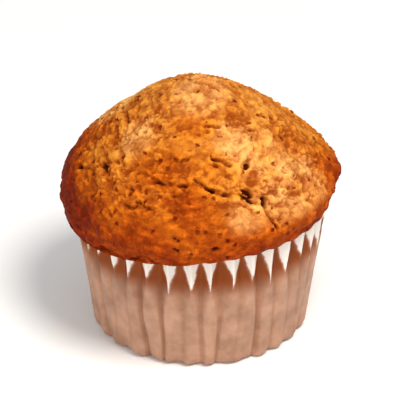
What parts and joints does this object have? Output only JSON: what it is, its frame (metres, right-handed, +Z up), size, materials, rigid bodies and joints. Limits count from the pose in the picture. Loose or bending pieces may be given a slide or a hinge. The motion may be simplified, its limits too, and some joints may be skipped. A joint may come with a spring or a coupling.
{
  "type": "bran muffin",
  "caption": "Bran muffin in its fluted paper baking cup, with a peaked, cracked crown whose lip hangs over the cup's rim.",
  "frame": {"origin": "middle of the baking cup's base, on the surface that it stands on", "axes": "+Z up, -Y towards the side that is seen from the front, +X to the right of that view"},
  "size_m": [0.0733, 0.0728, 0.07],
  "materials": {
    "baking_cup": "thin white baking paper, pleated, soaked tan with fat from the crumb and still white and dry at the rim",
    "muffin": "golden-brown baked crust, matt and crumbly, with bran flecks and open cracks, darker towards the lip"
  },
  "bodies": {
    "root": {"baking_cup": "baking_cup", "muffin": "muffin"}
  },
  "joints": []
}
